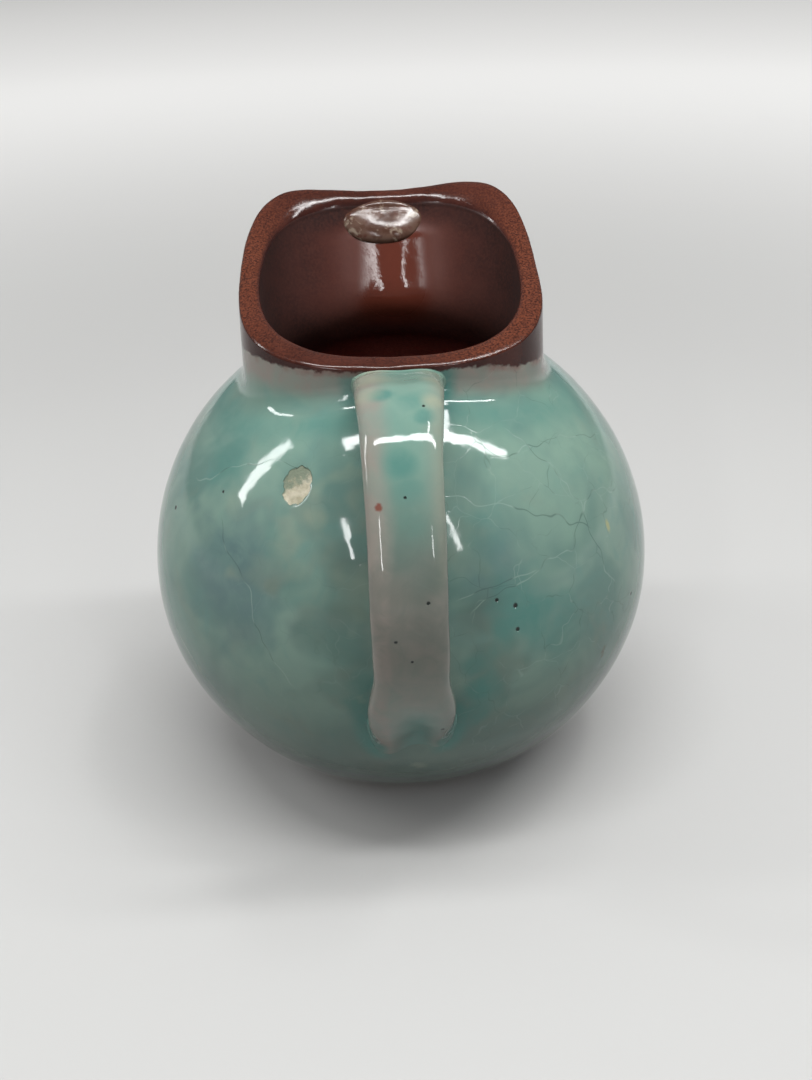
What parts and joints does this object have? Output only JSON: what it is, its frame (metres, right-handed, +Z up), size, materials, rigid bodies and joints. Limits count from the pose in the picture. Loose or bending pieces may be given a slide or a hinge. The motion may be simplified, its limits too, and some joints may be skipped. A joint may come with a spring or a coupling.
{
  "type": "ceramic pitcher",
  "caption": "Small ball-shaped glazed pitcher with a squared upswept mouth collar, a strap handle and a low flat foot.",
  "frame": {"origin": "centre of the flat face of the foot, on the globe's own axis, at the level the pitcher stands on", "axes": "+Z up along the globe's axis, +Y towards the pouring side of the mouth, -Y towards the handle, +X to the right when seen from the handle's side"},
  "size_m": [0.13, 0.1468, 0.1427],
  "materials": {
    "turquoise_glaze": "glossy, mottled turquoise over grey-pink clay, finely crazed",
    "brown_glaze": "glossy red-brown, thin and sandy on the rim",
    "pale_glaze": "glossy pinkish-beige spot of thick glaze",
    "bare_clay": "unglazed, matte and slightly gritty"
  },
  "bodies": {
    "root": {"globe_body": "turquoise_glaze", "mouth_collar": "brown_glaze", "strap_handle": "turquoise_glaze", "foot": "bare_clay"}
  },
  "joints": []
}
